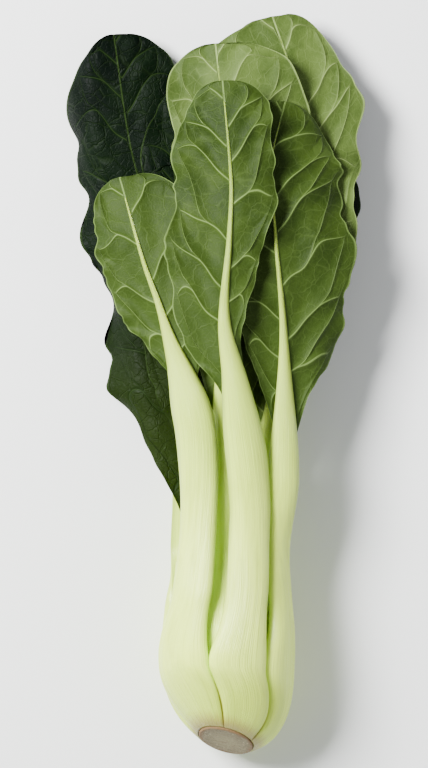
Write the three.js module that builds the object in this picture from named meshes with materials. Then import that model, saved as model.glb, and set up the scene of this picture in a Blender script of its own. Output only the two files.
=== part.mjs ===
// A whole head of bok choy, cut from its root and lying on its side, in millimetres with +Z up.
// The cut end points along -Y and the leaf tips along +Y. The head is a short stem, the heel, with
// twelve leaves round it: five outer, five inner and two small ones at the heart. Each leaf is a thick
// pale stalk that thins into the blade's midrib, and a thin green blade on the stalk's inner side.
import * as THREE from "three";

// The middle of the head's box, and the surface that it lies on, from the axis of its base.
const MIDDLE_X = -6.8;
const MIDDLE_Y = 213.35;
const FLOOR_Z = -38.0;

const BLADE_THICK = 1.0;
const VEIN_RAISE = 0.7;
const CLEAR = 1; // between a stalk and its blade

// The knife's cut slopes: it is higher at the head's upper side and lower at its right.
const CUT_Y = 8.0;
const CUT_SLOPE_X = -0.24;
const CUT_SLOPE_Z = 0.5;
const CUT_FADE = 62;

const HEEL_COLOUR = 0xc9c3a2;
const STALK_COLOUR = 0xdfe8bd;
const OUTSIDE_COLOUR = 0x6d8447;
const INSIDE_COLOUR = 0x2c4a26;

const DEGREE = Math.PI / 180;
const mix = (a, b, t) => a + (b - a) * t;
const clamp = (t) => Math.min(1, Math.max(0, t));
const ease = (t) => clamp(t) ** 2 * (3 - 2 * clamp(t));

// A smooth curve through [place, value] pairs, level beyond its two ends.
function through(pairs) {
  const last = pairs.length - 1;
  const slopes = pairs.map((_, i) => {
    const [before, after] = [pairs[Math.max(0, i - 1)], pairs[Math.min(last, i + 1)]];
    return (after[1] - before[1]) / (after[0] - before[0]);
  });
  return (place) => {
    if (place <= pairs[0][0]) return pairs[0][1];
    if (place >= pairs[last][0]) return pairs[last][1];
    const i = pairs.findIndex((p) => p[0] > place) - 1;
    const step = pairs[i + 1][0] - pairs[i][0];
    const t = (place - pairs[i][0]) / step;
    const rise = pairs[i + 1][1] - pairs[i][1];
    const start = slopes[i] * step;
    const end = slopes[i + 1] * step;
    const bend = (3 * rise - 2 * start - end) * t ** 2 + (start + end - 2 * rise) * t ** 3;
    return pairs[i][1] + start * t + bend;
  };
}

// Low down the stalks stand in rings round the base's axis, with an outer and an inner radius at each height.
const RING_WIDEST = 54;
const RINGS = {
  outer: {
    firstY: 9,
    outside: through([
      [9, 17], [14, 23.5], [20, 29.5], [29, 35], [40, 38.3], [54, 39.3],
      [70, 38.8], [88, 36.6], [124, 32.5], [160, 30],
    ]),
    inside: through([
      [9, 15.9], [14, 18], [20, 21], [29, 25.3], [40, 28.4], [54, 29.6],
      [70, 29], [88, 27.2], [124, 23.8], [160, 21.5],
    ]),
    spread: [52, 92],
    turnY: 84,
    rows: 17,
  },
  inner: {
    firstY: 20,
    outside: through([
      [20, 20.2], [29, 24.5], [40, 27.6], [54, 28.8], [70, 28.2], [88, 26.4], [124, 23], [160, 20.5],
    ]),
    inside: through([
      [20, 14.6], [29, 15], [40, 17.4], [54, 19.2], [70, 19.4], [88, 18.2], [124, 15.8], [160, 14],
    ]),
    spread: [42, 80],
    turnY: 70,
    rows: 13,
  },
  heart: {
    firstY: 40,
    outside: through([[40, 15.8], [54, 17.4], [70, 17], [88, 15], [124, 12]]),
    inside: through([[40, 10], [54, 11], [70, 11], [88, 9.5], [124, 8]]),
    spread: [46, 66],
    turnY: 46,
    rows: 9,
  },
};

// A stalk's full width and height by its place along the blade, where 0 is the blade's foot and 1 its tip.
const STALK_WIDE = 24;
const stalkWide = through([
  [0, STALK_WIDE], [0.07, 22], [0.15, 17.6], [0.24, 12.4],
  [0.33, 8], [0.43, 5], [0.6, 3.6], [0.8, 2.7], [1, 1.6],
]);
const stalkHigh = through([
  [0, 9], [0.07, 8.3], [0.15, 7], [0.24, 5.6], [0.33, 4.3], [0.43, 3.3], [0.6, 2.4], [0.8, 1.8], [1, 1.1],
]);

// Higher up the blades lie on each other like a pack of sheets. A leaf's level runs from 1, uppermost, to -1,
// lowest, and the sheets' height rises with the level everywhere, so that no two of them meet.
const packMiddle = through([[140, 0], [220, 0], [300, -1], [360, -5], [425, -12]]);
const packHalf = through([[110, 20], [200, 26], [260, 31], [320, 31], [380, 27], [425, 20]]);
const PACK_X = 5;
const PACK_WIDE = 58;
const WAVE_HIGH = 2.4;
function sheetZ(x, y, level) {
  const across = Math.exp(-(((x - PACK_X) / PACK_WIDE) ** 2));
  const side = level > 0 ? mix(0.3, 1, across) : mix(0.75, 1, across);
  const wave = WAVE_HIGH * ease((y - 150) / 90) * Math.sin(x / 18 + y / 31 + 1.2 * level);
  return packMiddle(y) + level * packHalf(y) * side + wave;
}

// footDeg and ringDeg: the part of its ring that a stalk fills at its foot and at the ring's widest, in degrees
// from the upper side towards +X. riseDeg, wide and lean: where its middle stands above that, how wide it is
// there and how far it leans to +X. facing: 1 where its outer side is uppermost, else -1. stout: its size
// beside the largest. broad: where along the blade its left and right sides are widest. rib: the midrib seen
// from above, as [y, x]. left and right: the blade's widest reach from the rib. sag: how far its left and right
// margins hang towards the table. ruffle: how high they wave, and scallop how far they wave sideways. curl: how
// far the tip rises.
const LEAVES = [
  {
    name: "01", ring: "outer", footDeg: [128, 208], ringDeg: [115, 205], riseDeg: 158, wide: 34, lean: 4,
    level: -1, facing: -1, footY: 150, tipY: 398, stout: 1, broad: [0.7, 0.7],
    rib: [[140, 15], [230, 28], [320, 42], [398, 46]],
    left: 44, right: 34, sag: [0, 13], ruffle: 2.2, scallop: 0.05, curl: -3,
  },
  {
    name: "02", ring: "outer", footDeg: [-4, 63], ringDeg: [-17, 40], riseDeg: 18, wide: 26, lean: 4,
    level: 1, facing: 1, footY: 175, tipY: 386, stout: 1, broad: [0.5, 0.8],
    rib: [[140, 15], [177, 11], [216, 5], [250, -1], [297, 2], [328, 3], [386, -2]],
    left: 34, right: 26, sag: [1, 0], ruffle: 1.6, scallop: 0.05, curl: 3,
  },
  {
    name: "03", ring: "outer", footDeg: [208, 260], ringDeg: [205, 260], riseDeg: 234, wide: 30, lean: -2,
    level: -0.87, facing: -1, footY: 120, tipY: 416, stout: 1, broad: [0.33, 0.52],
    rib: [[140, -20], [200, -24], [290, -39], [350, -55], [416, -65]],
    left: 38, right: 46, sag: [16, 0], ruffle: 2.4, scallop: 0.09, curl: 3,
  },
  {
    name: "04", ring: "outer", footDeg: [63, 128], ringDeg: [40, 115], riseDeg: 74, wide: 28, lean: 3,
    level: 0.72, facing: 1, footY: 160, tipY: 375, stout: 0.76, broad: [0.55, 0.55],
    rib: [[140, 32.5], [200, 33.5], [250, 32.5], [300, 28], [340, 26], [375, 34]],
    left: 32, right: 42, sag: [0, 6], ruffle: 1.8, scallop: 0.05, curl: -2,
  },
  {
    name: "05", ring: "outer", footDeg: [-100, -4], ringDeg: [-99, -17], riseDeg: -43, wide: 30, lean: 0,
    level: 0.59, facing: 1, footY: 196, tipY: 332, stout: 1, broad: [0.55, 0.55],
    rib: [[128, -14], [183, -17], [205, -21], [222, -26], [239, -32], [261, -39], [283, -47], [332, -61]],
    left: 24, right: 40, sag: [6, 0], ruffle: 2, scallop: 0.05, curl: -5,
  },
  {
    name: "06", ring: "inner", footDeg: [-50, 22], ringDeg: [-52, 12], riseDeg: -18, wide: 19, lean: 2,
    level: 0.24, facing: 1, footY: 130, tipY: 409, stout: 0.74, broad: [0.8, 0.72],
    rib: [[140, -4], [220, -3], [300, 0], [360, -1], [409, -6]],
    left: 31, right: 52, sag: [0, 0], ruffle: 1, scallop: 0.07, curl: 4,
  },
  {
    name: "07", ring: "inner", footDeg: [150, 226], ringDeg: [154, 226], riseDeg: 190, wide: 20, lean: 0,
    level: -0.56, facing: -1, footY: 130, tipY: 392, stout: 0.74, broad: [0.6, 0.6],
    rib: [[140, 2], [230, -6], [320, -14], [392, -16]],
    left: 34, right: 34, sag: [0, 0], ruffle: 1, scallop: 0.05, curl: 0,
  },
  {
    name: "08", ring: "inner", footDeg: [22, 84], ringDeg: [14, 78], riseDeg: 48, wide: 19, lean: 3,
    level: 0.04, facing: 1, footY: 130, tipY: 426, stout: 0.72, broad: [0.8, 0.72],
    rib: [[140, 17], [220, 30], [290, 41], [350, 44], [395, 37], [426, 27]],
    left: 62, right: 34, sag: [0, 2], ruffle: 1, scallop: 0.08, curl: -6,
  },
  {
    name: "09", ring: "inner", footDeg: [226, 310], ringDeg: [228, 304], riseDeg: 266, wide: 19, lean: 0,
    level: -0.29, facing: -1, footY: 130, tipY: 340, stout: 0.7, broad: [0.6, 0.6],
    rib: [[140, -14], [230, -22], [340, -30]],
    left: 28, right: 30, sag: [0, 0], ruffle: 1, scallop: 0.05, curl: 0,
  },
  {
    name: "10", ring: "inner", footDeg: [84, 150], ringDeg: [80, 152], riseDeg: 115, wide: 19, lean: 3,
    level: -0.42, facing: -1, footY: 130, tipY: 366, stout: 0.66, broad: [0.6, 0.6],
    rib: [[140, 22.5], [230, 27], [310, 34], [366, 38]],
    left: 26, right: 28, sag: [0, 0], ruffle: 1, scallop: 0.05, curl: 0,
  },
  {
    name: "11", ring: "heart", footDeg: [-66, 106], ringDeg: [-66, 106], riseDeg: 20, wide: 15, lean: 0,
    level: -0.05, facing: 1, footY: 82, tipY: 252, stout: 0.45, broad: [0.6, 0.6],
    rib: [[90, 2], [150, 5], [252, 6]],
    left: 17, right: 17, sag: [0, 0], ruffle: 0.5, scallop: 0.05, curl: 0,
  },
  {
    name: "12", ring: "heart", footDeg: [114, 286], ringDeg: [114, 286], riseDeg: 200, wide: 14, lean: 0,
    level: -0.15, facing: -1, footY: 82, tipY: 214, stout: 0.42, broad: [0.6, 0.6],
    rib: [[90, 0], [150, -1], [214, -4]],
    left: 14, right: 14, sag: [0, 0], ruffle: 0.5, scallop: 0.05, curl: 0,
  },
];

for (const leaf of LEAVES) {
  leaf.ribX = through(leaf.rib);
  leaf.long = leaf.tipY - leaf.footY;
}

// Points under the table are laid on it, which makes the small flat spots that the head rests on.
function place(x, y, z, lowest = FLOOR_Z) {
  const cut = (CUT_SLOPE_X * x + CUT_SLOPE_Z * z) * (1 - ease((y - 12) / CUT_FADE));
  return [x - MIDDLE_X, y + cut - MIDDLE_Y, Math.max(z, lowest) - FLOOR_Z];
}

// A mesh from its points and faces, with the faces turned outwards.
function closedMesh(name, points, faces, colour, roughness) {
  const corner = (i) => new THREE.Vector3(...points[i]);
  const volume = faces.reduce((sum, [a, b, c]) => sum + corner(a).dot(corner(b).cross(corner(c))), 0);
  const outward = volume > 0 ? faces : faces.map(([a, b, c]) => [a, c, b]);
  const geometry = new THREE.BufferGeometry();
  geometry.setAttribute("position", new THREE.Float32BufferAttribute(points.flat(), 3));
  geometry.setIndex(outward.flat());
  geometry.computeVertexNormals();
  const material = new THREE.MeshStandardMaterial({ color: colour, roughness, metalness: 0 });
  const mesh = new THREE.Mesh(geometry, material);
  mesh.name = name;
  return mesh;
}

// A solid from rings of points that follow each other, with both ends closed by flat faces.
function loftMesh(name, rings, colour, roughness) {
  const round = rings[0].length;
  const faces = [];
  for (let j = 0; j + 1 < rings.length; j++)
    for (let i = 0; i < round; i++) {
      const [a, b] = [j * round + i, j * round + ((i + 1) % round)];
      faces.push([a, b, b + round], [a, b + round, a + round]);
    }
  const capOf = (ring) =>
    THREE.ShapeUtils.triangulateShape(
      ring.map((p) => new THREE.Vector2(p[0], p[2])),
      [],
    );
  const flipped = THREE.ShapeUtils.isClockWise(rings[0].map((p) => new THREE.Vector2(p[0], p[2])));
  const turn = ([a, b, c], shift, back) => (back ? [a, c, b] : [a, b, c]).map((i) => i + shift);
  capOf(rings[0]).forEach((face) => faces.push(turn(face, 0, !flipped)));
  capOf(rings.at(-1)).forEach((face) => faces.push(turn(face, (rings.length - 1) * round, flipped)));
  return closedMesh(name, rings.flat(), faces, colour, roughness);
}

// The heel: the end of the stem that the leaves grow from, cut across below and domed above.
const HEEL_SIDES = 20;
const HEEL_PROFILE = [[CUT_Y, 15.2], [10.5, 15.4], [15, 14.6], [20, 13.4], [27, 12], [34, 9.5], [37.5, 5]];
function heelMesh() {
  const rings = HEEL_PROFILE.map(([y, radius]) =>
    Array.from({ length: HEEL_SIDES }, (_, i) => {
      const angle = (i / HEEL_SIDES) * 2 * Math.PI;
      return place(radius * Math.sin(angle), y, radius * Math.cos(angle));
    }),
  );
  return loftMesh("heel", rings, HEEL_COLOUR, 0.8);
}

// Across a stalk: places on its outer face from edge to edge, then back along its inner face.
const OUTER_ACROSS = [-1, -0.88, -0.6, -0.22, 0.22, 0.6, 0.88, 1];
const INNER_ACROSS = [0.7, 0.25, -0.25, -0.7];
const STATIONS = [9, 14, 20, 29, 40, 54, 70, 88, 106, 124, 142, 160];

// Where the stalk is in its ring, [x, z], at a height and a place across.
function inRing(leaf, y, across, isOuter) {
  const ring = RINGS[leaf.ring];
  const [outside, inside] = [ring.outside(y), ring.inside(y)];
  const edge = mix(inside, outside, 0.4);
  const middle = (outside + inside) / 2;
  const risen = ease((y - RINGS.outer.firstY) / 40);
  const [from, to] = [0, 1].map((end) => mix(leaf.footDeg[end], leaf.ringDeg[end], risen) * DEGREE);
  const free = ease((y - ring.spread[0]) / (ring.spread[1] - ring.spread[0]));
  const wide = mix(leaf.wide, STALK_WIDE * leaf.stout, ease((y - ring.spread[1]) / 60));
  const halfSpan = mix(to - from, Math.min(wide / middle, to - from), free) / 2;
  const swell = (1 - Math.abs(across) ** mix(5, 2.6, free)) ** 0.5;
  const radius = isOuter ? mix(edge, outside, swell) : mix(edge, inside, swell);
  const upright = ease((y - RING_WIDEST) / 45);
  const angle = mix((from + to) / 2, leaf.riseDeg * DEGREE, upright) + across * halfSpan;
  return [leaf.lean * ease((y - 40) / 80) + radius * Math.sin(angle), radius * Math.cos(angle)];
}

// Where the stalk is on its blade's outer face, [x, z].
function onBlade(leaf, y, across, isOuter) {
  const along = clamp((y - leaf.footY) / leaf.long);
  const x = leaf.ribX(y) + (leaf.facing * across * stalkWide(along) * leaf.stout) / 2;
  const dome = isOuter ? stalkHigh(along) * leaf.stout * Math.sqrt(1 - across ** 2) : 0;
  const curl = leaf.curl * ease((along - CURL_FROM) / (1 - CURL_FROM));
  return [x, sheetZ(x, y, leaf.level) + curl + leaf.facing * (BLADE_THICK / 2 + CLEAR + dome)];
}

function stalkRing(leaf, y) {
  const start = RINGS[leaf.ring].turnY;
  const turned = ease((y - start) / (leaf.footY - start));
  const point = (across, isOuter) => {
    const [low, high] = [inRing(leaf, y, across, isOuter), onBlade(leaf, y, across, isOuter)];
    return place(mix(low[0], high[0], turned), y, mix(low[1], high[1], turned));
  };
  const outer = OUTER_ACROSS.map((across) => point(across, true));
  return [...outer, ...INNER_ACROSS.map((across) => point(across, false))];
}

const BLADE_STATION = 25; // between a stalk's sections above the rings
const RIB_END = 12; // from the last section to the blade's tip
function stalkMesh(leaf) {
  const low = STATIONS.filter((y) => y >= RINGS[leaf.ring].firstY);
  const top = leaf.tipY - RIB_END;
  const steps = Math.round((top - low.at(-1)) / BLADE_STATION);
  const high = Array.from({ length: steps }, (_, i) => mix(low.at(-1), top, (i + 1) / steps));
  const rings = [...low, ...high].map((y) => stalkRing(leaf, y));
  return loftMesh("stalk_" + leaf.name, rings, STALK_COLOUR, 0.45);
}

// A blade's half width by its place along, as a share of its widest: a narrow foot, a broad body, a round tip.
const FOOT_SHARE = 0.1;
const TIP_SHARE = 0.05;
function bladeShare(along, broad) {
  if (along < broad) return mix(FOOT_SHARE, 1, Math.sin(((along / broad) ** 1.1 * Math.PI) / 2) ** 2);
  return Math.max(TIP_SHARE, (1 - ((along - broad) / (1 - broad)) ** 3.6) ** 0.42);
}

// The point of a blade's middle surface. Lines of equal along sweep forwards from the rib, as side veins do.
const SWEEP = 0.7;
const CURL_FROM = 0.7;
function bladePoint(leaf, along, across) {
  const swept = along + SWEEP * along * (1 - along) * Math.abs(across) ** 1.5;
  const y = leaf.footY + leaf.long * swept;
  const slope = (leaf.ribX(y + 1) - leaf.ribX(y - 1)) / 2;
  const tilt = Math.hypot(1, slope);
  const notch = Math.sin(swept * 24 + across * 2 + leaf.tipY) * across ** 2;
  const widest = across < 0 ? leaf.left : leaf.right;
  const broad = leaf.broad[across < 0 ? 0 : 1];
  const share = bladeShare(swept, broad) * (1 + leaf.scallop * ease(swept * 3) * notch);
  const reach = across * widest * share;
  const [x, outY] = [leaf.ribX(y) + reach / tilt, y - (reach * slope) / tilt];
  const loose = ease((Math.abs(reach) - 15 * leaf.stout) / 26);
  const sag = loose * (across < 0 ? leaf.sag[0] : leaf.sag[1]) * across ** 2;
  const ruffle = loose * leaf.ruffle * across ** 2 * Math.sin(along * 19 + across * 2.4 + leaf.tipY);
  const curl = leaf.curl * ease((swept - CURL_FROM) / (1 - CURL_FROM));
  return [x, outY, sheetZ(x, outY, leaf.level) - sag + ruffle + curl];
}

const ACROSS = [-1, -0.78, -0.45, -0.16, 0, 0.16, 0.45, 0.78, 1];
function bladeMesh(leaf) {
  const columns = ACROSS.length;
  const { rows } = RINGS[leaf.ring];
  const points = [[], []];
  for (let j = 0; j < rows; j++) {
    const even = j / (rows - 1);
    const along = even + 0.17 * Math.sin(Math.PI * even);
    for (const across of ACROSS) {
      const [x, y, z] = bladePoint(leaf, along, across);
      const isVein = j % 2 === 0 && j > 0 && j < rows - 1;
      const vein = isVein ? VEIN_RAISE * ease(Math.abs(across) * 3) * (1 - across ** 2) : 0;
      const [up, down] = leaf.facing > 0 ? [vein, 0] : [0, vein];
      points[0].push(place(x, y, z + BLADE_THICK / 2 + up, FLOOR_Z + BLADE_THICK));
      points[1].push(place(x, y, z - BLADE_THICK / 2 - down));
    }
  }
  const under = rows * columns;
  const faces = [];
  for (let j = 0; j + 1 < rows; j++)
    for (let i = 0; i + 1 < columns; i++) {
      const a = j * columns + i;
      const split = [[a, a + 1, a + columns + 1], [a, a + columns + 1, a + columns]];
      for (const [p, q, r] of split) faces.push([p, q, r], [p + under, r + under, q + under]);
    }
  const rim = [];
  for (let i = 0; i + 1 < columns; i++) rim.push(i);
  for (let j = 0; j + 1 < rows; j++) rim.push(j * columns + columns - 1);
  for (let i = columns - 1; i > 0; i--) rim.push((rows - 1) * columns + i);
  for (let j = rows - 1; j > 0; j--) rim.push(j * columns);
  rim.forEach((p, k) => {
    const q = rim[(k + 1) % rim.length];
    faces.push([p + under, q + under, q], [p + under, q, p]);
  });
  const colour = leaf.facing > 0 ? OUTSIDE_COLOUR : INSIDE_COLOUR;
  return closedMesh("blade_" + leaf.name, [...points[0], ...points[1]], faces, colour, 0.55);
}

const head = new THREE.Group();
head.add(heelMesh());
for (const leaf of LEAVES) head.add(stalkMesh(leaf), bladeMesh(leaf));

export default head;
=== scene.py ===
# A whole head of bok choy lying on its back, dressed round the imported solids. Lengths are in millimetres
# until place() turns them into metres.
import math

import bpy
import numpy as np
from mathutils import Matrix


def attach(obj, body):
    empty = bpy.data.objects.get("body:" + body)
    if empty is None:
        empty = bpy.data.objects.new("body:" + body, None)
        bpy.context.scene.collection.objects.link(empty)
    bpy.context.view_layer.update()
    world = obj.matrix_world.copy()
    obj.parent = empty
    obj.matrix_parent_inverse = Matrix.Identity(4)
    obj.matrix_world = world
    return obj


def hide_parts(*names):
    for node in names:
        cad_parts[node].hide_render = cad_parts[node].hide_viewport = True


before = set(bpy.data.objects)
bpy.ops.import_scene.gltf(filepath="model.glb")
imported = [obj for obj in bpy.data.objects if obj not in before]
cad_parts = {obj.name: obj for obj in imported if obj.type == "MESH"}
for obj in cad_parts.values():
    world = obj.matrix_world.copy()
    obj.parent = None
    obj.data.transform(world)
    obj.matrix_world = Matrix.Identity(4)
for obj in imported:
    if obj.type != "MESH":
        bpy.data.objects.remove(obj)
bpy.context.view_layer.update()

# The heel is the short stem that every leaf grows from. It is firm and pale, and a knife has cut it across
# below. The cut has dried to beige, with darker rings and a brown rim. The heel's top is hidden in the head.
MIDDLE_X, MIDDLE_Y, FLOOR_Z = -6.8, 213.35, -38.0
CUT_SLOPE_X, CUT_SLOPE_Z, CUT_FADE = -0.24, 0.5, 62
HEEL_PROFILE = [
    (8, 15.2), (8.6, 15.5), (10.5, 15.4), (15, 14.6), (20, 13.4), (27, 12), (34, 9.5), (37.5, 5),
]  # along the axis and out from it
HEEL_SIDES = 96
CUT_RINGS, CUT_MIDDLE, CUT_EDGE = 30, 0.02, 0.97  # the rings on the cut face, and shares of its radius
CUT_DOME, KNIFE_MARK = 0.5, 0.22


def ease(t):
    t = np.clip(t, 0, 1)
    return t * t * (3 - 2 * t)


def mix(a, b, t):
    return a + (b - a) * t


def place(x, y, z):
    """Points in the part's own axes, in metres, from millimetres round the axis of the head's base."""
    cut = (CUT_SLOPE_X * x + CUT_SLOPE_Z * z) * (1 - ease((y - 12) / CUT_FADE))
    z = np.maximum(z, FLOOR_Z)
    return np.stack([x - MIDDLE_X, y + cut - MIDDLE_Y, z - FLOOR_Z], axis=-1) / 1000


def piece(name, points, faces, maps, materials, face_materials=None):
    """A smooth closed mesh. maps gives each UV map's name and its value at each point."""
    mesh = bpy.data.meshes.new(name)
    mesh.from_pydata(points.reshape(-1, 3).tolist(), [], faces)
    corners = np.zeros(len(mesh.loops), np.int32)
    mesh.loops.foreach_get("vertex_index", corners)
    for map_name, values in maps.items():
        layer = mesh.uv_layers.new(name=map_name)
        layer.data.foreach_set("uv", values.reshape(-1, 2)[corners].astype(np.float32).ravel())
    for material in materials:
        mesh.materials.append(material)
    if face_materials is not None:
        mesh.polygons.foreach_set("material_index", np.asarray(face_materials, np.int32))
    mesh.polygons.foreach_set("use_smooth", np.ones(len(mesh.polygons), bool))
    mesh.update()
    made = bpy.data.objects.new(name, mesh)
    bpy.context.scene.collection.objects.link(made)
    return made


def wrap_faces(rows, around, first=0):
    """Quads between rows of points that each close on themselves."""
    j, i = np.meshgrid(np.arange(rows - 1), np.arange(around), indexing="ij")
    a, b = j * around + i, j * around + (i + 1) % around
    return (np.stack([a, a + around, b + around, b], -1).reshape(-1, 4) + first).tolist()


def put(node, name, value):
    """Links value to a socket if it is one, and otherwise sets it."""
    socket = node.inputs[name]
    if isinstance(value, bpy.types.NodeSocket):
        node.id_data.links.new(value, socket)
    else:
        socket.default_value = value


def maths(tree, operation, a, b=0.0, c=0.0):
    node = tree.nodes.new("ShaderNodeMath")
    node.operation = operation
    for index, value in enumerate((a, b, c)):
        put(node, index, value)
    return node.outputs[0]


def step_between(tree, value, low, high):
    """0 at low, 1 at high and smooth between them."""
    node = tree.nodes.new("ShaderNodeMapRange")
    node.interpolation_type = "SMOOTHSTEP"
    put(node, "Value", value)
    put(node, "From Min", low)
    put(node, "From Max", high)
    return node.outputs["Result"]


def blend_colours(tree, share, a, b):
    node = tree.nodes.new("ShaderNodeMix")
    node.data_type = "RGBA"
    for index, value in ((0, share), (6, a), (7, b)):
        put(node, index, value)
    return node.outputs[2]


def noise(tree, vector, scale, detail=3.0, roughness=0.5):
    node = tree.nodes.new("ShaderNodeTexNoise")
    for name, value in (("Vector", vector), ("Scale", scale), ("Detail", detail), ("Roughness", roughness)):
        put(node, name, value)
    return node.outputs["Fac"]


def scaled(tree, vector, factors):
    node = tree.nodes.new("ShaderNodeVectorMath")
    node.operation = "MULTIPLY"
    put(node, 0, vector)
    put(node, 1, factors)
    return node.outputs[0]


def uv_map(tree, name):
    node = tree.nodes.new("ShaderNodeUVMap")
    node.uv_map = name
    split = tree.nodes.new("ShaderNodeSeparateXYZ")
    put(split, 0, node.outputs[0])
    return node.outputs[0], split.outputs[0], split.outputs[1]


def colour(red, green, blue):
    """A colour for a shader from the 0 to 255 values that a screen shows."""
    linear = [((v / 255 + 0.055) / 1.055) ** 2.4 if v > 10 else v / 3295 for v in (red, green, blue)]
    return (*linear, 1.0)


def new_material(name):
    material = bpy.data.materials.new(name)
    material.use_nodes = True
    return material, material.node_tree, material.node_tree.nodes["Principled BSDF"]


def bump(tree, height, distance, strength=1.0):
    node = tree.nodes.new("ShaderNodeBump")
    put(node, "Height", height)
    put(node, "Distance", distance)
    put(node, "Strength", strength)
    return node.outputs["Normal"]


def share_of(tree, mask, share):
    return maths(tree, "MULTIPLY", mask, share)


def cut_material():
    material, tree, shader = new_material("dried cut")
    place_at = tree.nodes.new("ShaderNodeTexCoord").outputs["Object"]
    _, _, radius = uv_map(tree, "cut")
    wobble = noise(tree, place_at, 90.0)
    ring_angle = maths(tree, "MULTIPLY_ADD", radius, 30.0, share_of(tree, wobble, 14.0))
    rings = maths(tree, "SINE", ring_angle)
    grain = noise(tree, place_at, 900.0, 4.0, 0.65)
    stain = noise(tree, place_at, 210.0, 4.0, 0.6)
    strands = tree.nodes.new("ShaderNodeTexVoronoi")
    put(strands, "Vector", place_at)
    put(strands, "Scale", 420.0)
    in_band = maths(tree, "MULTIPLY", step_between(tree, radius, 0.5, 0.62),
                    step_between(tree, radius, 0.96, 0.84))
    dots = maths(tree, "MULTIPLY", step_between(tree, strands.outputs["Distance"], 0.3, 0.18), in_band)
    outwards = step_between(tree, radius, 0.1, 0.85)
    face = blend_colours(tree, outwards, colour(144, 136, 98), colour(116, 106, 74))
    for share, mask, shade in (
        (0.16, step_between(tree, rings, 0.2, 1.0), colour(98, 84, 56)),
        (0.6, step_between(tree, stain, 0.5, 0.72), colour(106, 82, 48)),
        (0.45, step_between(tree, grain, 0.42, 0.7), colour(178, 170, 134)),
        (0.6, dots, colour(192, 186, 146)),
    ):
        face = blend_colours(tree, share_of(tree, mask, share), face, shade)
    rim = step_between(tree, maths(tree, "MULTIPLY_ADD", stain, 0.4, radius), 1.04, 1.2)
    face = blend_colours(tree, rim, face, colour(118, 92, 54))
    side = step_between(tree, radius, 1.12, 1.3)
    put(shader, "Base Color", blend_colours(tree, side, face, colour(200, 208, 120)))
    put(shader, "Roughness", maths(tree, "MULTIPLY_ADD", grain, 0.3, 0.55))
    put(shader, "Normal", bump(tree, maths(tree, "MULTIPLY_ADD", stain, 1.5, grain), 0.0006))
    return material


def make_heel():
    around = np.arange(HEEL_SIDES) / HEEL_SIDES * 2 * math.pi
    across, up = np.sin(around), np.cos(around)
    (cut_y, cut_radius), *above = HEEL_PROFILE
    shares = np.linspace(CUT_MIDDLE, 1, CUT_RINGS)
    face = [(cut_y + CUT_DOME * (1 - s) * (s < CUT_EDGE), s * cut_radius, s) for s in shares]
    side = [(y, radius, 1.1 + 0.1 * i) for i, (y, radius) in enumerate(above)]
    points, cut = [], []
    for y, radius, share in face + side:
        bend = 0.8 * np.sin(radius * across * 0.5)
        knife = KNIFE_MARK * np.sin(radius * up * 1.7 + bend) * (share < CUT_EDGE)
        points.append(place(radius * across, y + knife, radius * up))
        cut.append(np.stack([around, np.full(HEEL_SIDES, share)], -1))
    rows = len(points)
    faces = wrap_faces(rows, HEEL_SIDES)
    faces += [list(range(HEEL_SIDES)), list(range((rows - 1) * HEEL_SIDES, rows * HEEL_SIDES))[::-1]]
    made = piece("heel_skin", np.array(points), faces, {"cut": np.array(cut)}, [cut_material()])
    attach(made, "root")
    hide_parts("heel")


make_heel()

# The twelve stalks are thick, crisp and pale, rounded outside and hollowed inside. Their broad feet close
# into a ring round the heel, and each one thins above into the midrib that carries its blade.
RIB_OFF, RIB_SUNK = 0.65, 0.1  # how far a midrib's edges stand off the blade's middle, low down and above
CURL_FROM = 0.7
PACK_X, PACK_WIDE, WAVE_HIGH = 5, 58, 2.4
RING_WIDEST = 54
STALK_WIDE = 24
EDGE_TO_EDGE = 29
INNER_WIDE = 0.985  # a stalk's inner face beside its outer one
STATION = 2.5  # between a stalk's sections
RIB_END = 12  # from the last section to the blade's tip


def through(pairs):
    """A smooth curve through (place, value) pairs, level beyond its two ends."""
    at, value = np.array(pairs, float).T
    before, after = np.maximum(np.arange(len(at)) - 1, 0), np.minimum(np.arange(len(at)) + 1, len(at) - 1)
    slope = (value[after] - value[before]) / (at[after] - at[before])

    def curve(where):
        where = np.clip(where, at[0], at[-1])
        i = np.clip(np.searchsorted(at, where, side="right") - 1, 0, len(at) - 2)
        span = at[i + 1] - at[i]
        t, rise = (where - at[i]) / span, value[i + 1] - value[i]
        start, end = slope[i] * span, slope[i + 1] * span
        return value[i] + start * t + (3 * rise - 2 * start - end) * t**2 + (start + end - 2 * rise) * t**3

    return curve


RINGS = {
    "outer": {
        "first": 9,
        "outside": through([
            (9, 17), (14, 23.5), (20, 29.5), (29, 35), (40, 38.3), (54, 39.3), (70, 38.8), (88, 36.6),
            (124, 32.5), (160, 30),
        ]),
        "inside": through([
            (9, 15.9), (14, 18), (20, 21), (29, 25.3), (40, 28.4), (54, 29.6), (70, 29), (88, 27.2),
            (124, 23.8), (160, 21.5),
        ]),
        "spread": (52, 92),
        "turn": 84,
    },
    "inner": {
        "first": 20,
        "outside": through([
            (20, 20.2), (29, 24.5), (40, 27.6), (54, 28.8), (70, 28.2), (88, 26.4), (124, 23), (160, 20.5),
        ]),
        "inside": through([
            (20, 14.6), (29, 15), (40, 17.4), (54, 19.2), (70, 19.4), (88, 18.2), (124, 15.8), (160, 14),
        ]),
        "spread": (42, 80),
        "turn": 70,
    },
    "heart": {
        "first": 40,
        "outside": through([(40, 15.8), (54, 17.4), (70, 17), (88, 15), (124, 12)]),
        "inside": through([(40, 10), (54, 11), (70, 11), (88, 9.5), (124, 8)]),
        "spread": (46, 66),
        "turn": 46,
    },
}
stalk_wide = through([
    (0, STALK_WIDE), (0.07, 22), (0.15, 17.6), (0.24, 12.4), (0.33, 8), (0.43, 5), (0.6, 3.1), (0.8, 1.8),
    (1, 0.5),
])
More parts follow.
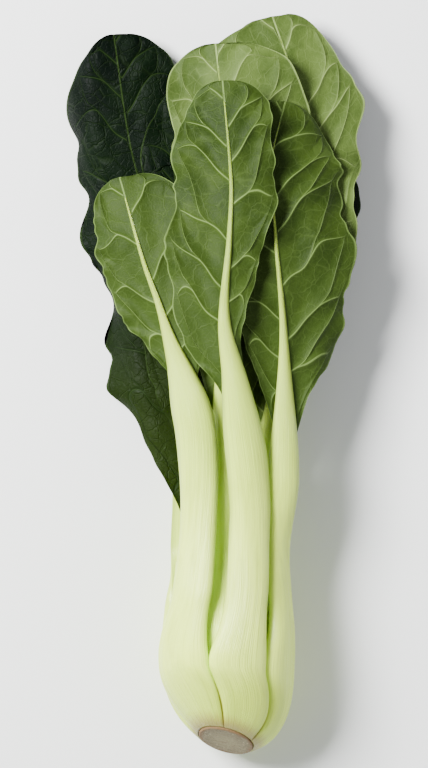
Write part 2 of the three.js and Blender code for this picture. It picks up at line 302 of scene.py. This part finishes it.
stalk_high = through([
    (0, 9), (0.07, 8.3), (0.15, 7), (0.24, 5.6), (0.33, 4.3), (0.43, 3.3), (0.6, 2.2), (0.8, 1.3),
    (1, 0.35),
])
pack_middle = through([(140, 0), (220, 0), (300, -1), (360, -5), (425, -12)])
pack_half = through([(110, 20), (200, 26), (260, 31), (320, 31), (380, 27), (425, 20)])

# name, ring, foot and ring sectors, rise angle, width, lean, level, facing, foot and tip of the blade,
# stoutness, widest place on the left and right, midrib, reach and sag on the left and right, ruffle,
# scallop, curl
LEAVES = [
    ("01", "outer", (128, 208), (115, 205), 158, 34, 4, -1, -1, 150, 398, 1, (0.7, 0.7),
     [(140, 15), (230, 28), (320, 42), (398, 46)], (44, 34), (0, 13), 2.2, 0.05, -3),
    ("02", "outer", (-4, 63), (-17, 40), 18, 26, 4, 1, 1, 175, 386, 1, (0.5, 0.8),
     [(140, 15), (177, 11), (216, 5), (250, -1), (297, 2), (328, 3), (386, -2)],
     (34, 26), (1, 0), 1.6, 0.05, 3),
    ("03", "outer", (208, 260), (205, 260), 234, 30, -2, -0.87, -1, 120, 416, 1, (0.33, 0.52),
     [(140, -20), (200, -24), (290, -39), (350, -55), (416, -65)], (38, 46), (16, 0), 2.4, 0.09, 3),
    ("04", "outer", (63, 128), (40, 115), 74, 28, 3, 0.72, 1, 160, 375, 0.76, (0.55, 0.55),
     [(140, 32.5), (200, 33.5), (250, 32.5), (300, 28), (340, 26), (375, 34)],
     (32, 42), (0, 6), 1.8, 0.05, -2),
    ("05", "outer", (-100, -4), (-99, -17), -43, 30, 0, 0.59, 1, 196, 332, 1, (0.55, 0.55),
     [(128, -14), (183, -17), (205, -21), (222, -26), (239, -32), (261, -39), (283, -47), (332, -61)],
     (24, 40), (6, 0), 2, 0.05, -5),
    ("06", "inner", (-50, 22), (-52, 12), -18, 19, 2, 0.24, 1, 130, 409, 0.74, (0.8, 0.72),
     [(140, -4), (220, -3), (300, 0), (360, -1), (409, -6)], (31, 52), (0, 0), 1, 0.07, 4),
    ("07", "inner", (150, 226), (154, 226), 190, 20, 0, -0.56, -1, 130, 392, 0.74, (0.6, 0.6),
     [(140, 2), (230, -6), (320, -14), (392, -16)], (34, 34), (0, 0), 1, 0.05, 0),
    ("08", "inner", (22, 84), (14, 78), 48, 19, 3, 0.04, 1, 130, 426, 0.72, (0.8, 0.72),
     [(140, 17), (220, 30), (290, 41), (350, 44), (395, 37), (426, 27)], (62, 34), (0, 2), 1, 0.08, -6),
    ("09", "inner", (226, 310), (228, 304), 266, 19, 0, -0.29, -1, 130, 340, 0.7, (0.6, 0.6),
     [(140, -14), (230, -22), (340, -30)], (28, 30), (0, 0), 1, 0.05, 0),
    ("10", "inner", (84, 150), (80, 152), 115, 19, 3, -0.42, -1, 130, 366, 0.66, (0.6, 0.6),
     [(140, 22.5), (230, 27), (310, 34), (366, 38)], (26, 28), (0, 0), 1, 0.05, 0),
    ("11", "heart", (-66, 106), (-66, 106), 20, 15, 0, -0.05, 1, 82, 252, 0.45, (0.6, 0.6),
     [(90, 2), (150, 5), (252, 6)], (17, 17), (0, 0), 0.5, 0.05, 0),
    ("12", "heart", (114, 286), (114, 286), 200, 14, 0, -0.15, -1, 82, 214, 0.42, (0.6, 0.6),
     [(90, 0), (150, -1), (214, -4)], (14, 14), (0, 0), 0.5, 0.05, 0),
]
FIELDS = (
    "name ring foot_deg ring_deg rise wide lean level facing foot tip stout broad rib reach sag "
    "ruffle scallop curl"
).split()
leaves = [dict(zip(FIELDS, leaf)) for leaf in LEAVES]
for leaf in leaves:
    leaf["rib_x"] = through(leaf["rib"])
    leaf["long"] = leaf["tip"] - leaf["foot"]


def sheet_z(x, y, level):
    """The height of a leaf's sheet in the pack, where level runs from 1, uppermost, to -1."""
    across = np.exp(-(((x - PACK_X) / PACK_WIDE) ** 2))
    side = mix(0.3, 1, across) if level > 0 else mix(0.75, 1, across)
    wave = WAVE_HIGH * ease((y - 150) / 90) * np.sin(x / 18 + y / 31 + 1.2 * level)
    return pack_middle(y) + level * pack_half(y) * side + wave


def in_ring(leaf, y, across, outer):
    ring = RINGS[leaf["ring"]]
    outside, inside = ring["outside"](y), ring["inside"](y)
    edge, middle = mix(inside, outside, 0.4), (outside + inside) / 2
    risen = ease((y - RINGS["outer"]["first"]) / 40)
    start, end = (np.radians(mix(leaf["foot_deg"][k], leaf["ring_deg"][k], risen)) for k in (0, 1))
    free = ease((y - ring["spread"][0]) / (ring["spread"][1] - ring["spread"][0]))
    wide = mix(leaf["wide"], STALK_WIDE * leaf["stout"], ease((y - ring["spread"][1]) / 60))
    half_span = mix(end - start, np.minimum(wide / middle, end - start), free) / 2
    swell = (1 - np.abs(across) ** mix(5, 2.6, free)) ** 0.5
    fine_ribs = 0.16 * np.cos(across * 21 + leaf["tip"]) * (1 - across**2) * ease((y - 14) / 20)
    radius = mix(edge, outside + fine_ribs, swell) if outer else mix(edge, inside, swell)
    upright = ease((y - RING_WIDEST) / 45)
    angle = mix((start + end) / 2, math.radians(leaf["rise"]), upright) + across * half_span
    return leaf["lean"] * ease((y - 40) / 80) + radius * np.sin(angle), radius * np.cos(angle)


def tip_curl(leaf, along):
    return leaf["curl"] * ease((along - CURL_FROM) / (1 - CURL_FROM))


def on_blade(leaf, y, across, outer):
    along = np.clip((y - leaf["foot"]) / leaf["long"], 0, 1)
    x = leaf["rib_x"](y) + leaf["facing"] * across * stalk_wide(along) * leaf["stout"] / 2
    dome = stalk_high(along) * leaf["stout"] * np.sqrt(1 - across**2) if outer else 0
    z = sheet_z(x, y, leaf["level"]) + tip_curl(leaf, along)
    return x, z + leaf["facing"] * (mix(RIB_OFF, RIB_SUNK, ease(along / 0.3)) + dome)


def stalk_material():
    material, tree, shader = new_material("stalk flesh")
    where, across, height = uv_map(tree, "stalk")
    off_middle = maths(tree, "ABSOLUTE", across)
    strand = noise(tree, scaled(tree, where, (26.0, 0.9, 1.0)), 1.0, 3.0, 0.6)
    fine = noise(tree, scaled(tree, where, (90.0, 2.4, 1.0)), 1.0, 2.0, 0.6)
    cloud = noise(tree, scaled(tree, where, (1.5, 2.5, 1.0)), 1.0, 3.0, 0.5)
    green_edge = maths(tree, "MULTIPLY", step_between(tree, off_middle, 0.72, 1.0),
                       step_between(tree, height, 0.5, 1.5))
    above_foot = step_between(tree, height, 0.1, 0.5)
    flesh = blend_colours(tree, above_foot, colour(210, 236, 76), colour(222, 246, 98))
    for share, mask, shade in (
        (1.0, step_between(tree, height, 1.1, 2.1), colour(192, 219, 78)),
        (1.0, step_between(tree, height, 2.0, 3.6), colour(118, 144, 54)),
        (0.6, green_edge, colour(128, 148, 80)),
        (0.5, step_between(tree, strand, 0.5, 0.72), colour(166, 194, 62)),
        (0.45, step_between(tree, cloud, 0.42, 0.68), colour(182, 206, 62)),
    ):
        flesh = blend_colours(tree, share_of(tree, mask, share), flesh, shade)
    scar = step_between(tree, maths(tree, "MULTIPLY_ADD", strand, 0.07, height), 0.19, 0.13)
    low_down = step_between(tree, maths(tree, "MULTIPLY_ADD", cloud, 0.5, height), 0.62, 0.42)
    crack = maths(tree, "MULTIPLY", step_between(tree, off_middle, 0.93, 0.99), low_down)
    flesh = blend_colours(tree, share_of(tree, scar, 0.8), flesh, colour(140, 116, 58))
    flesh = blend_colours(tree, share_of(tree, crack, 0.75), flesh, colour(112, 92, 30))
    put(shader, "Base Color", flesh)
    put(shader, "Roughness", maths(tree, "MULTIPLY_ADD", strand, 0.18, 0.2))
    put(shader, "Normal", bump(tree, maths(tree, "MULTIPLY_ADD", fine, 0.4, strand), 0.0006, 0.8))
    put(shader, "Subsurface Weight", 0.12)
    put(shader, "Subsurface Radius", (0.004, 0.0045, 0.002))
    put(shader, "Subsurface Scale", 1.0)
    return material


stalk_skin = stalk_material()


def make_stalk(leaf):
    ring = RINGS[leaf["ring"]]
    face = np.sin(np.linspace(-1, 1, EDGE_TO_EDGE) * math.pi / 2)
    stations = int((leaf["tip"] - ring["first"]) / STATION)
    y = np.linspace(ring["first"], leaf["tip"] - RIB_END, stations)[:, None]
    turned = ease((y - ring["turn"]) / (leaf["foot"] - ring["turn"]))
    halves = []
    for outer, across in ((True, face[None]), (False, face[None, ::-1] * INNER_WIDE)):
        low, high = in_ring(leaf, y, across, outer), on_blade(leaf, y, across, outer)
        x, z = mix(low[0], high[0], turned), mix(low[1], high[1], turned)
        halves.append((place(x, y + 0 * x, z), np.stack([across + 0 * x, (y + 0 * x) / 100], -1)))
    points, where = (np.concatenate([half[k] for half in halves], axis=1) for k in (0, 1))
    rows, around = points.shape[:2]
    faces = wrap_faces(rows, around)
    top = (rows - 1) * around
    for i in range(EDGE_TO_EDGE - 1):
        a, b, c, d = i, i + 1, around - 2 - i, around - 1 - i
        faces += [[a, b, c, d], [top + d, top + c, top + b, top + a]]
    made = piece("stalk_skin_" + leaf["name"], points, faces, {"stalk": where}, [stalk_skin])
    turn_outward(made)
    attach(made, "root")
    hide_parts("stalk_" + leaf["name"])


def turn_outward(made):
    mesh = made.data
    mesh.calc_loop_triangles()
    corner = np.array([v.co for v in mesh.vertices])
    a, b, c = (corner[[t.vertices[k] for t in mesh.loop_triangles]] for k in range(3))
    if np.einsum("ij,ij->i", a, np.cross(b, c)).sum() < 0:
        mesh.flip_normals()


for leaf in leaves:
    make_stalk(leaf)

# The twelve blades are thin, soft and broad, and grow along the inner side of each midrib. They are dark
# and glossy inside. Outside they are lighter and matt, with pale raised side veins that fork near the waved
# margin.
FOOT_SHARE, TIP_SHARE = 0.1, 0.03
SWEEP = 0.7
VEIN_EVERY = 27  # millimetres along the midrib from one side vein to the next
FORK_JOIN = 0.9  # where neighbouring forks meet, as a share of the way to the margin
ROWS, COLUMNS = 181, 73
REAL_THICK, MARGIN_THICK = 0.7, 0.4
MARGIN_CROWDING, TIP_CROWDING = 1.45, 0.12  # how far the mesh's columns and rows crowd together there
VEIN_HIGH, VEIN_HALF = 0.5, 0.07  # the half width is a share of the gap between two side veins
QUILT_DEEP, PUCKER_DEEP, FOLD_HIGH = 1.8, 0.2, 0.9


def blade_share(along, broad):
    low = mix(FOOT_SHARE, 1, np.sin((np.clip(along / broad, 0, 1) ** 1.1 * math.pi) / 2) ** 2)
    high = np.clip(1 - np.clip((along - broad) / (1 - broad), 0, 1) ** 3.6, 0, 1) ** 0.42
    return np.where(along < broad, low, np.maximum(TIP_SHARE, high))


def blade_points(leaf, along, across):
    """The blade's middle surface, and the places in millimetres from the rib and from the blade's foot."""
    seed = leaf["tip"]
    far = np.abs(across)
    swept = along + SWEEP * along * (1 - along) * far**1.5
    y = leaf["foot"] + leaf["long"] * swept
    slope = (leaf["rib_x"](y + 1) - leaf["rib_x"](y - 1)) / 2
    tilt = np.hypot(1, slope)
    notch = leaf["scallop"] * ease(swept * 3) * np.sin(swept * 24 + across * 2 + seed) * across**2
    lobe = 0.75 * leaf["scallop"] * ease(swept * 4) * far**4
    lobe = lobe * np.sin(swept * 41 + across + 2 * seed + 1.4 * np.sin(swept * 17))
    nick = 0.016 * ease(swept * 4) * np.sin(swept * 89 + 2 * np.sin(swept * 31 + seed)) * far**8
    broad = np.where(across < 0, leaf["broad"][0], leaf["broad"][1])
    share = blade_share(swept, broad) * (1 + notch + lobe + nick)
    from_rib = across * np.where(across < 0, leaf["reach"][0], leaf["reach"][1]) * share
    x, out_y = leaf["rib_x"](y) + from_rib / tilt, y - from_rib * slope / tilt
    loose = ease((np.abs(from_rib) - 15 * leaf["stout"]) / 26)
    sag = loose * np.where(across < 0, leaf["sag"][0], leaf["sag"][1]) * across**2
    ruffle = loose * leaf["ruffle"] * across**2 * np.sin(along * 19 + across * 2.4 + seed)
    frill = mix(0.8, 1.7, leaf["stout"]) * ease(swept * 5) * far**5
    frill = frill * np.sin(swept * 47 + across * 3 + 1.5 * np.sin(swept * 19 + seed))
    z = sheet_z(x, out_y, leaf["level"]) - sag + ruffle + frill + tip_curl(leaf, swept)
    return x, out_y, z, from_rib, leaf["long"] * swept


def vein_turn(leaf, across, from_rib, from_foot):
    """Counts side veins up the leaf: one at each whole number, half past it on the left. Also how close."""
    seed, far = leaf["tip"] + 3 * np.sign(across), np.abs(from_rib)
    reach = np.where(across < 0, leaf["reach"][0], leaf["reach"][1])
    arch = far * mix(0.5, 1.1, np.clip(from_foot / leaf["long"], 0, 1)) + 0.3 * far**2 / reach
    turn = (from_foot - arch) / VEIN_EVERY
    close = 1 + 0.46 * np.cos(turn * 2.1 + seed)
    turn = turn + 0.22 * np.sin(turn * 2.1 + seed)
    return turn + 0.07 * ease(far / 14) * np.sin(far / 7 + from_foot / 11 + seed), close


def vein_gap(turn, across):
    """How far a place is from its nearest side vein or fork, as a share of the gap between two veins."""
    turn = turn + 0.5 * (across < 0)
    number = np.floor(turn + 0.5)
    start = 0.52 + 0.14 * np.sin(number * 2.4) + 0.08 * np.sign(turn - number)
    fork = 0.5 * np.clip((np.abs(across) - start) / (FORK_JOIN - start), 0, 1) ** 1.5
    return np.abs(np.abs(turn - number) - fork)


def vein_group():
    """The same veins as a mask, with the finer net between them, the margin, the midrib and the patches."""
    tree = bpy.data.node_groups.new("leaf veins", "ShaderNodeTree")
    for name in ("Vein Width", "Net Size"):
        tree.interface.new_socket(name, in_out="INPUT", socket_type="NodeSocketFloat")
    for name in ("Vein", "Halo", "Net", "Margin", "Midrib", "Patches"):
        tree.interface.new_socket(name, in_out="OUTPUT", socket_type="NodeSocketFloat")
    given = tree.nodes.new("NodeGroupInput").outputs
    out = tree.nodes.new("NodeGroupOutput")
    _, across, turn = uv_map(tree, "leaf")
    flat, from_rib, _ = uv_map(tree, "flat")
    far = maths(tree, "ABSOLUTE", across)
    turn = maths(tree, "MULTIPLY_ADD", maths(tree, "LESS_THAN", across, 0.0), 0.5, turn)
    number = maths(tree, "FLOOR", maths(tree, "ADD", turn, 0.5))
    off = maths(tree, "SUBTRACT", turn, number)
    varied = maths(tree, "SINE", maths(tree, "MULTIPLY", number, 2.4))
    start = maths(tree, "MULTIPLY_ADD", varied, 0.14, 0.52)
    start = maths(tree, "MULTIPLY_ADD", maths(tree, "SIGN", off), 0.08, start)
    fork_long = maths(tree, "SUBTRACT", FORK_JOIN, start)
    way = maths(tree, "DIVIDE", maths(tree, "SUBTRACT", far, start), fork_long)
    way = maths(tree, "MINIMUM", maths(tree, "MAXIMUM", way, 0.0), 1.0)
    fork = maths(tree, "MULTIPLY", maths(tree, "POWER", way, 1.5), 0.5)
    gap = maths(tree, "ABSOLUTE", maths(tree, "SUBTRACT", maths(tree, "ABSOLUTE", off), fork))
    width = maths(tree, "MULTIPLY", given["Vein Width"], maths(tree, "MULTIPLY_ADD", far, -0.72, 1.0))
    _, close, along = uv_map(tree, "close")
    width = maths(tree, "MULTIPLY", width, close)
    outside_vein = step_between(tree, gap, maths(tree, "MULTIPLY", width, 0.35), width)
    vein = maths(tree, "SUBTRACT", 1.0, outside_vein)
    fade = step_between(tree, far, 0.97, 0.84)
    put(out, "Vein", maths(tree, "MULTIPLY", vein, fade))
    halo = step_between(tree, gap, maths(tree, "MULTIPLY", width, 4.0), 0.0)
    put(out, "Halo", maths(tree, "MULTIPLY", halo, fade))
    wobble = tree.nodes.new("ShaderNodeTexNoise")
    put(wobble, "Vector", flat)
    put(wobble, "Scale", 0.16)
    bent = tree.nodes.new("ShaderNodeVectorMath")
    bent.operation = "MULTIPLY_ADD"
    put(bent, 0, wobble.outputs["Color"])
    put(bent, 1, (5.0, 5.0, 0.0))
    put(bent, 2, flat)
    nets = []
    for size, line in ((1.0, 0.05), (0.34, 0.09)):
        cells = tree.nodes.new("ShaderNodeTexVoronoi")
        cells.feature = "DISTANCE_TO_EDGE"
        put(cells, "Vector", bent.outputs[0])
        put(cells, "Scale", maths(tree, "DIVIDE", 1.0, maths(tree, "MULTIPLY", given["Net Size"], size)))
        nets.append(step_between(tree, cells.outputs["Distance"], line, 0.0))
    put(out, "Net", maths(tree, "MAXIMUM", nets[0], maths(tree, "MULTIPLY", nets[1], 0.4)))
    put(out, "Margin", step_between(tree, far, 0.968, 0.992))
    rib_half = maths(tree, "MAXIMUM", maths(tree, "MULTIPLY_ADD", along, -6.0, 4.6), 0.45)
    rib_far = maths(tree, "DIVIDE", maths(tree, "ABSOLUTE", from_rib), rib_half)
    put(out, "Midrib", step_between(tree, rib_far, 1.2, 0.75))
    put(out, "Patches", noise(tree, flat, 0.03, 4.0, 0.6))
    return tree


veins = vein_group()


def leaf_material(name, colours, vein_width, vein_share, net_share, net_high, shine, raised):
    base, shade, light, low, vein_colour = (colour(*values) for values in colours)
    material, tree, shader = new_material(name)
    found = tree.nodes.new("ShaderNodeGroup")
    found.node_tree = veins
    put(found, "Vein Width", vein_width)
    put(found, "Net Size", 9.0)
    mask = found.outputs
    flat, _, from_foot = uv_map(tree, "flat")
    fine = noise(tree, flat, 0.9, 3.0, 0.7)
    skin = blend_colours(tree, step_between(tree, mask["Patches"], 0.38, 0.62), shade, base)
    for share, where, tint in (
        (0.8, step_between(tree, from_foot, 170.0, 40.0), low),
        (0.22, step_between(tree, fine, 0.45, 0.8), light),
        (0.4, mask["Halo"], light),
    ):
        skin = blend_colours(tree, share_of(tree, where, share), skin, tint)
    lines = share_of(tree, mask["Net"], net_share)
    for share, line in ((vein_share, "Vein"), (0.8, "Midrib"), (0.7, "Margin")):
        lines = maths(tree, "MAXIMUM", lines, share_of(tree, mask[line], share))
    skin = blend_colours(tree, lines, skin, vein_colour)
    pale_foot = step_between(tree, from_foot, 24.0, 5.0)
    put(shader, "Base Color", blend_colours(tree, pale_foot, skin, colour(176, 202, 76)))
    put(shader, "Roughness", maths(tree, "MULTIPLY_ADD", fine, 0.25, 0.36))
    put(shader, "Specular IOR Level", shine)
    relief = maths(tree, "MULTIPLY_ADD", mask["Net"], net_high, share_of(tree, fine, 0.3))
    relief = maths(tree, "MAXIMUM", relief, share_of(tree, mask["Halo"], 0.5))
    relief = maths(tree, "MAXIMUM", relief, mask["Vein"])
    put(shader, "Normal", bump(tree, share_of(tree, relief, raised), 0.0008))
    return material


# colours: most of the skin, its darker patches, its lighter flecks, the part near the foot, and the veins
leaf_outside = leaf_material(
    "leaf outside", [(44, 60, 17), (31, 46, 10), (58, 76, 28), (47, 64, 20), (100, 122, 64)],
    vein_width=0.042, vein_share=0.8, net_share=0.1, net_high=0.12, shine=0.06, raised=1.0,
)
# The inner and heart leaves' outside: paler green because these leaves are younger, and lightened further as
# painted light for the brighter light falling on the top leaves
young_outside_with_painted_light = leaf_material(
    "young leaf outside with painted light", [(74, 92, 42), (54, 71, 27), (92, 110, 56), (66, 84, 32), (128, 148, 86)],
    vein_width=0.042, vein_share=0.7, net_share=0.1, net_high=0.12, shine=0.06, raised=1.0,
)
leaf_inside = leaf_material(
    "leaf inside", [(5, 16, 5), (2, 8, 4), (12, 27, 8), (30, 43, 7), (34, 50, 18)],
    vein_width=0.035, vein_share=0.55, net_share=0.14, net_high=0.4, shine=0.045, raised=-1.0,
)


def make_blade(leaf):
    along = np.linspace(0, 1, ROWS)
    along = along + TIP_CROWDING * np.sin(math.pi * along) * along
    across = np.sin(np.linspace(-1, 1, COLUMNS) * MARGIN_CROWDING) / math.sin(MARGIN_CROWDING)
    v, u = np.meshgrid(along, across, indexing="ij")
    x, y, z, from_rib, from_foot = blade_points(leaf, v, u)
    turn, close = vein_turn(leaf, u, from_rib, from_foot)
    gap = vein_gap(turn, u)
    fade = (1 - np.abs(u) ** 3) * ease(np.abs(u) * 9) * ease(v * 12) * ease((1 - v) * 8)
    ridge = VEIN_HIGH * np.exp(-((gap / VEIN_HALF) ** 2)) * fade
    quilt = QUILT_DEEP * np.sin(np.clip(gap * 2, 0, 1) * math.pi / 2) ** 1.3 * (1 - u**2) * ease(v * 5)
    quilt = quilt * ease(np.abs(from_rib) / 14)
    pucker = PUCKER_DEEP * np.sin(from_rib / 2.6 + 2 * np.sin(from_foot / 6))
    pucker = pucker * np.sin(from_foot / 3.1 + leaf["tip"]) * fade
    fold = FOLD_HIGH * np.sin(x / 9 + y / 23 + leaf["tip"]) * np.sin(y / 17 - x / 31 + 2 * leaf["tip"])
    fold = fold * ease(np.abs(u) * 3)
    z = z - leaf["facing"] * (quilt + pucker) + fold * leaf["stout"]
    half = mix(REAL_THICK, MARGIN_THICK, np.abs(u) ** 4) / 2
    above, below = (ridge, 0) if leaf["facing"] > 0 else (0, ridge)
    faces_z = (z + half + above, z - half - below)
    points = np.concatenate([place(x, y, face_z) for face_z in faces_z])
    rows, columns = u.shape
    j, i = np.meshgrid(np.arange(rows - 1), np.arange(columns - 1), indexing="ij")
    a = (j * columns + i).ravel()
    upper = np.stack([a, a + 1, a + columns + 1, a + columns], -1)
    under = rows * columns
    lower = (upper + under)[:, ::-1]
    rim = list(range(columns))
    rim += [r * columns + columns - 1 for r in range(1, rows)]
    rim += [(rows - 1) * columns + c for c in range(columns - 2, -1, -1)]
    rim += [r * columns for r in range(rows - 2, 0, -1)]
    edge = [[p + under, q + under, q, p] for p, q in zip(rim, rim[1:] + rim[:1])]
    outside, inside = (0, 1) if leaf["facing"] > 0 else (1, 0)
    which = [outside] * len(upper) + [inside] * len(lower) + [0] * len(edge)
    maps = {"leaf": [u, turn], "flat": [from_rib, from_foot], "close": [close, from_foot / leaf["long"]]}
    maps = {name: np.stack(values, -1) for name, values in maps.items()}
    maps = {name: np.concatenate([value, value]) for name, value in maps.items()}
    # inner and heart leaves take the paler outside, which also holds painted light
    skin = leaf_outside if leaf["ring"] == "outer" else young_outside_with_painted_light
    faces = [*upper.tolist(), *lower.tolist(), *edge]
    made = piece("blade_skin_" + leaf["name"], points, faces, maps, [skin, leaf_inside], which)
    turn_outward(made)
    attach(made, "root")
    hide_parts("blade_" + leaf["name"])


for leaf in leaves:
    make_blade(leaf)


# The head lies on its back on a plain pale table, under soft light from the upper left. It is seen from
# straight above, with its leaf tips at the top of the picture.
TABLE_HALF = 3
VIEW_HIGH = 2.5  # from the table up to the lens
FRAME_LONG = 0.440  # what the picture's long side takes in at the head's middle height
HEAD_MIDDLE_Z = 0.045
SENSOR_WIDE = 36


def make_table():
    material, _, shader = new_material("table")
    put(shader, "Base Color", (0.86, 0.87, 0.86, 1.0))
    put(shader, "Roughness", 0.8)
    mesh = bpy.data.meshes.new("table")
    corners = [(x * TABLE_HALF, y * TABLE_HALF, 0) for x, y in ((-1, -1), (1, -1), (1, 1), (-1, 1))]
    mesh.from_pydata(corners, [], [(0, 1, 2, 3)])
    mesh.materials.append(material)
    table = bpy.data.objects.new("table", mesh)
    bpy.context.scene.collection.objects.link(table)


def area_light(name, spot, size, power):
    light = bpy.data.lights.new(name, "AREA")
    light.size, light.energy = size, power
    made = bpy.data.objects.new(name, light)
    made.location = spot
    made.rotation_euler = (-made.location).to_track_quat("-Z", "Y").to_euler()
    bpy.context.scene.collection.objects.link(made)


make_table()
area_light("key", (-1.0, 0.6, 1.3), 0.7, 132)
area_light("fill", (1.1, -0.4, 1.0), 1.2, 8)
world = bpy.data.worlds.new("studio")
world.use_nodes = True
world.node_tree.nodes["Background"].inputs["Color"].default_value = (0.93, 0.96, 1.0, 1.0)
world.node_tree.nodes["Background"].inputs["Strength"].default_value = 0.4
bpy.context.scene.world = world

camera = bpy.data.objects.new("camera", bpy.data.cameras.new("camera"))
camera.data.sensor_width = SENSOR_WIDE
camera.data.lens = SENSOR_WIDE * (VIEW_HIGH - HEAD_MIDDLE_Z) / FRAME_LONG
camera.location = (0.0, 0.0, VIEW_HIGH)
bpy.context.scene.collection.objects.link(camera)
bpy.context.scene.camera = camera
